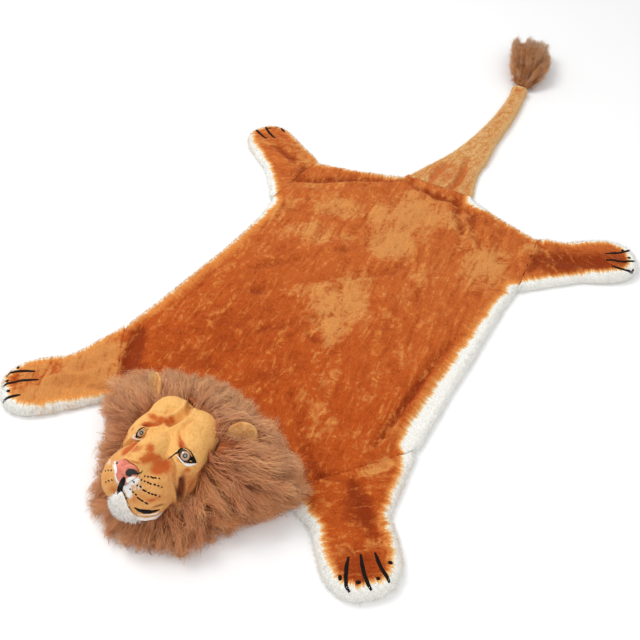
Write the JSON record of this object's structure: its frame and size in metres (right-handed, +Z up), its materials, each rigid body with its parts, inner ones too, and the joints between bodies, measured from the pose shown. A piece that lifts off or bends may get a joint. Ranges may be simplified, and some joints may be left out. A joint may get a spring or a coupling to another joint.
{
  "type": "plush animal floor rug",
  "caption": "Plush rug shaped like a lion lying flat, with a padded hide, legs, a tufted tail and a stuffed head in a shaggy mane.",
  "frame": {"origin": "on the floor, under the middle of the rug's bounding box", "axes": "+Z up from the floor, -Y towards the head, +Y towards the tail tuft, +X towards the animal's left side"},
  "size_m": [0.7956, 1.4886, 0.1248],
  "materials": {
    "body_plush": "short crushed pile, rust with tan patches and a white edge",
    "tan_plush": "short pile",
    "mane_hair": "long combed hair",
    "face_plush": "very short pile",
    "chin_plush": "fluffy white pile",
    "nose_cloth": "smooth pink cloth",
    "eye_plastic": "clear gloss over an amber ring"
  },
  "bodies": {
    "root": {"hide": "body_plush", "front_leg_left": "body_plush", "front_leg_right": "body_plush", "rear_leg_left": "body_plush", "rear_leg_right": "body_plush", "tail": "tan_plush", "tail_tuft": "mane_hair", "mane": "mane_hair", "head": "face_plush", "muzzle": "face_plush", "chin": "chin_plush", "nose": "nose_cloth", "eye_left": "eye_plastic", "eye_right": "eye_plastic", "ear_left": "tan_plush", "ear_right": "tan_plush"}
  },
  "joints": []
}
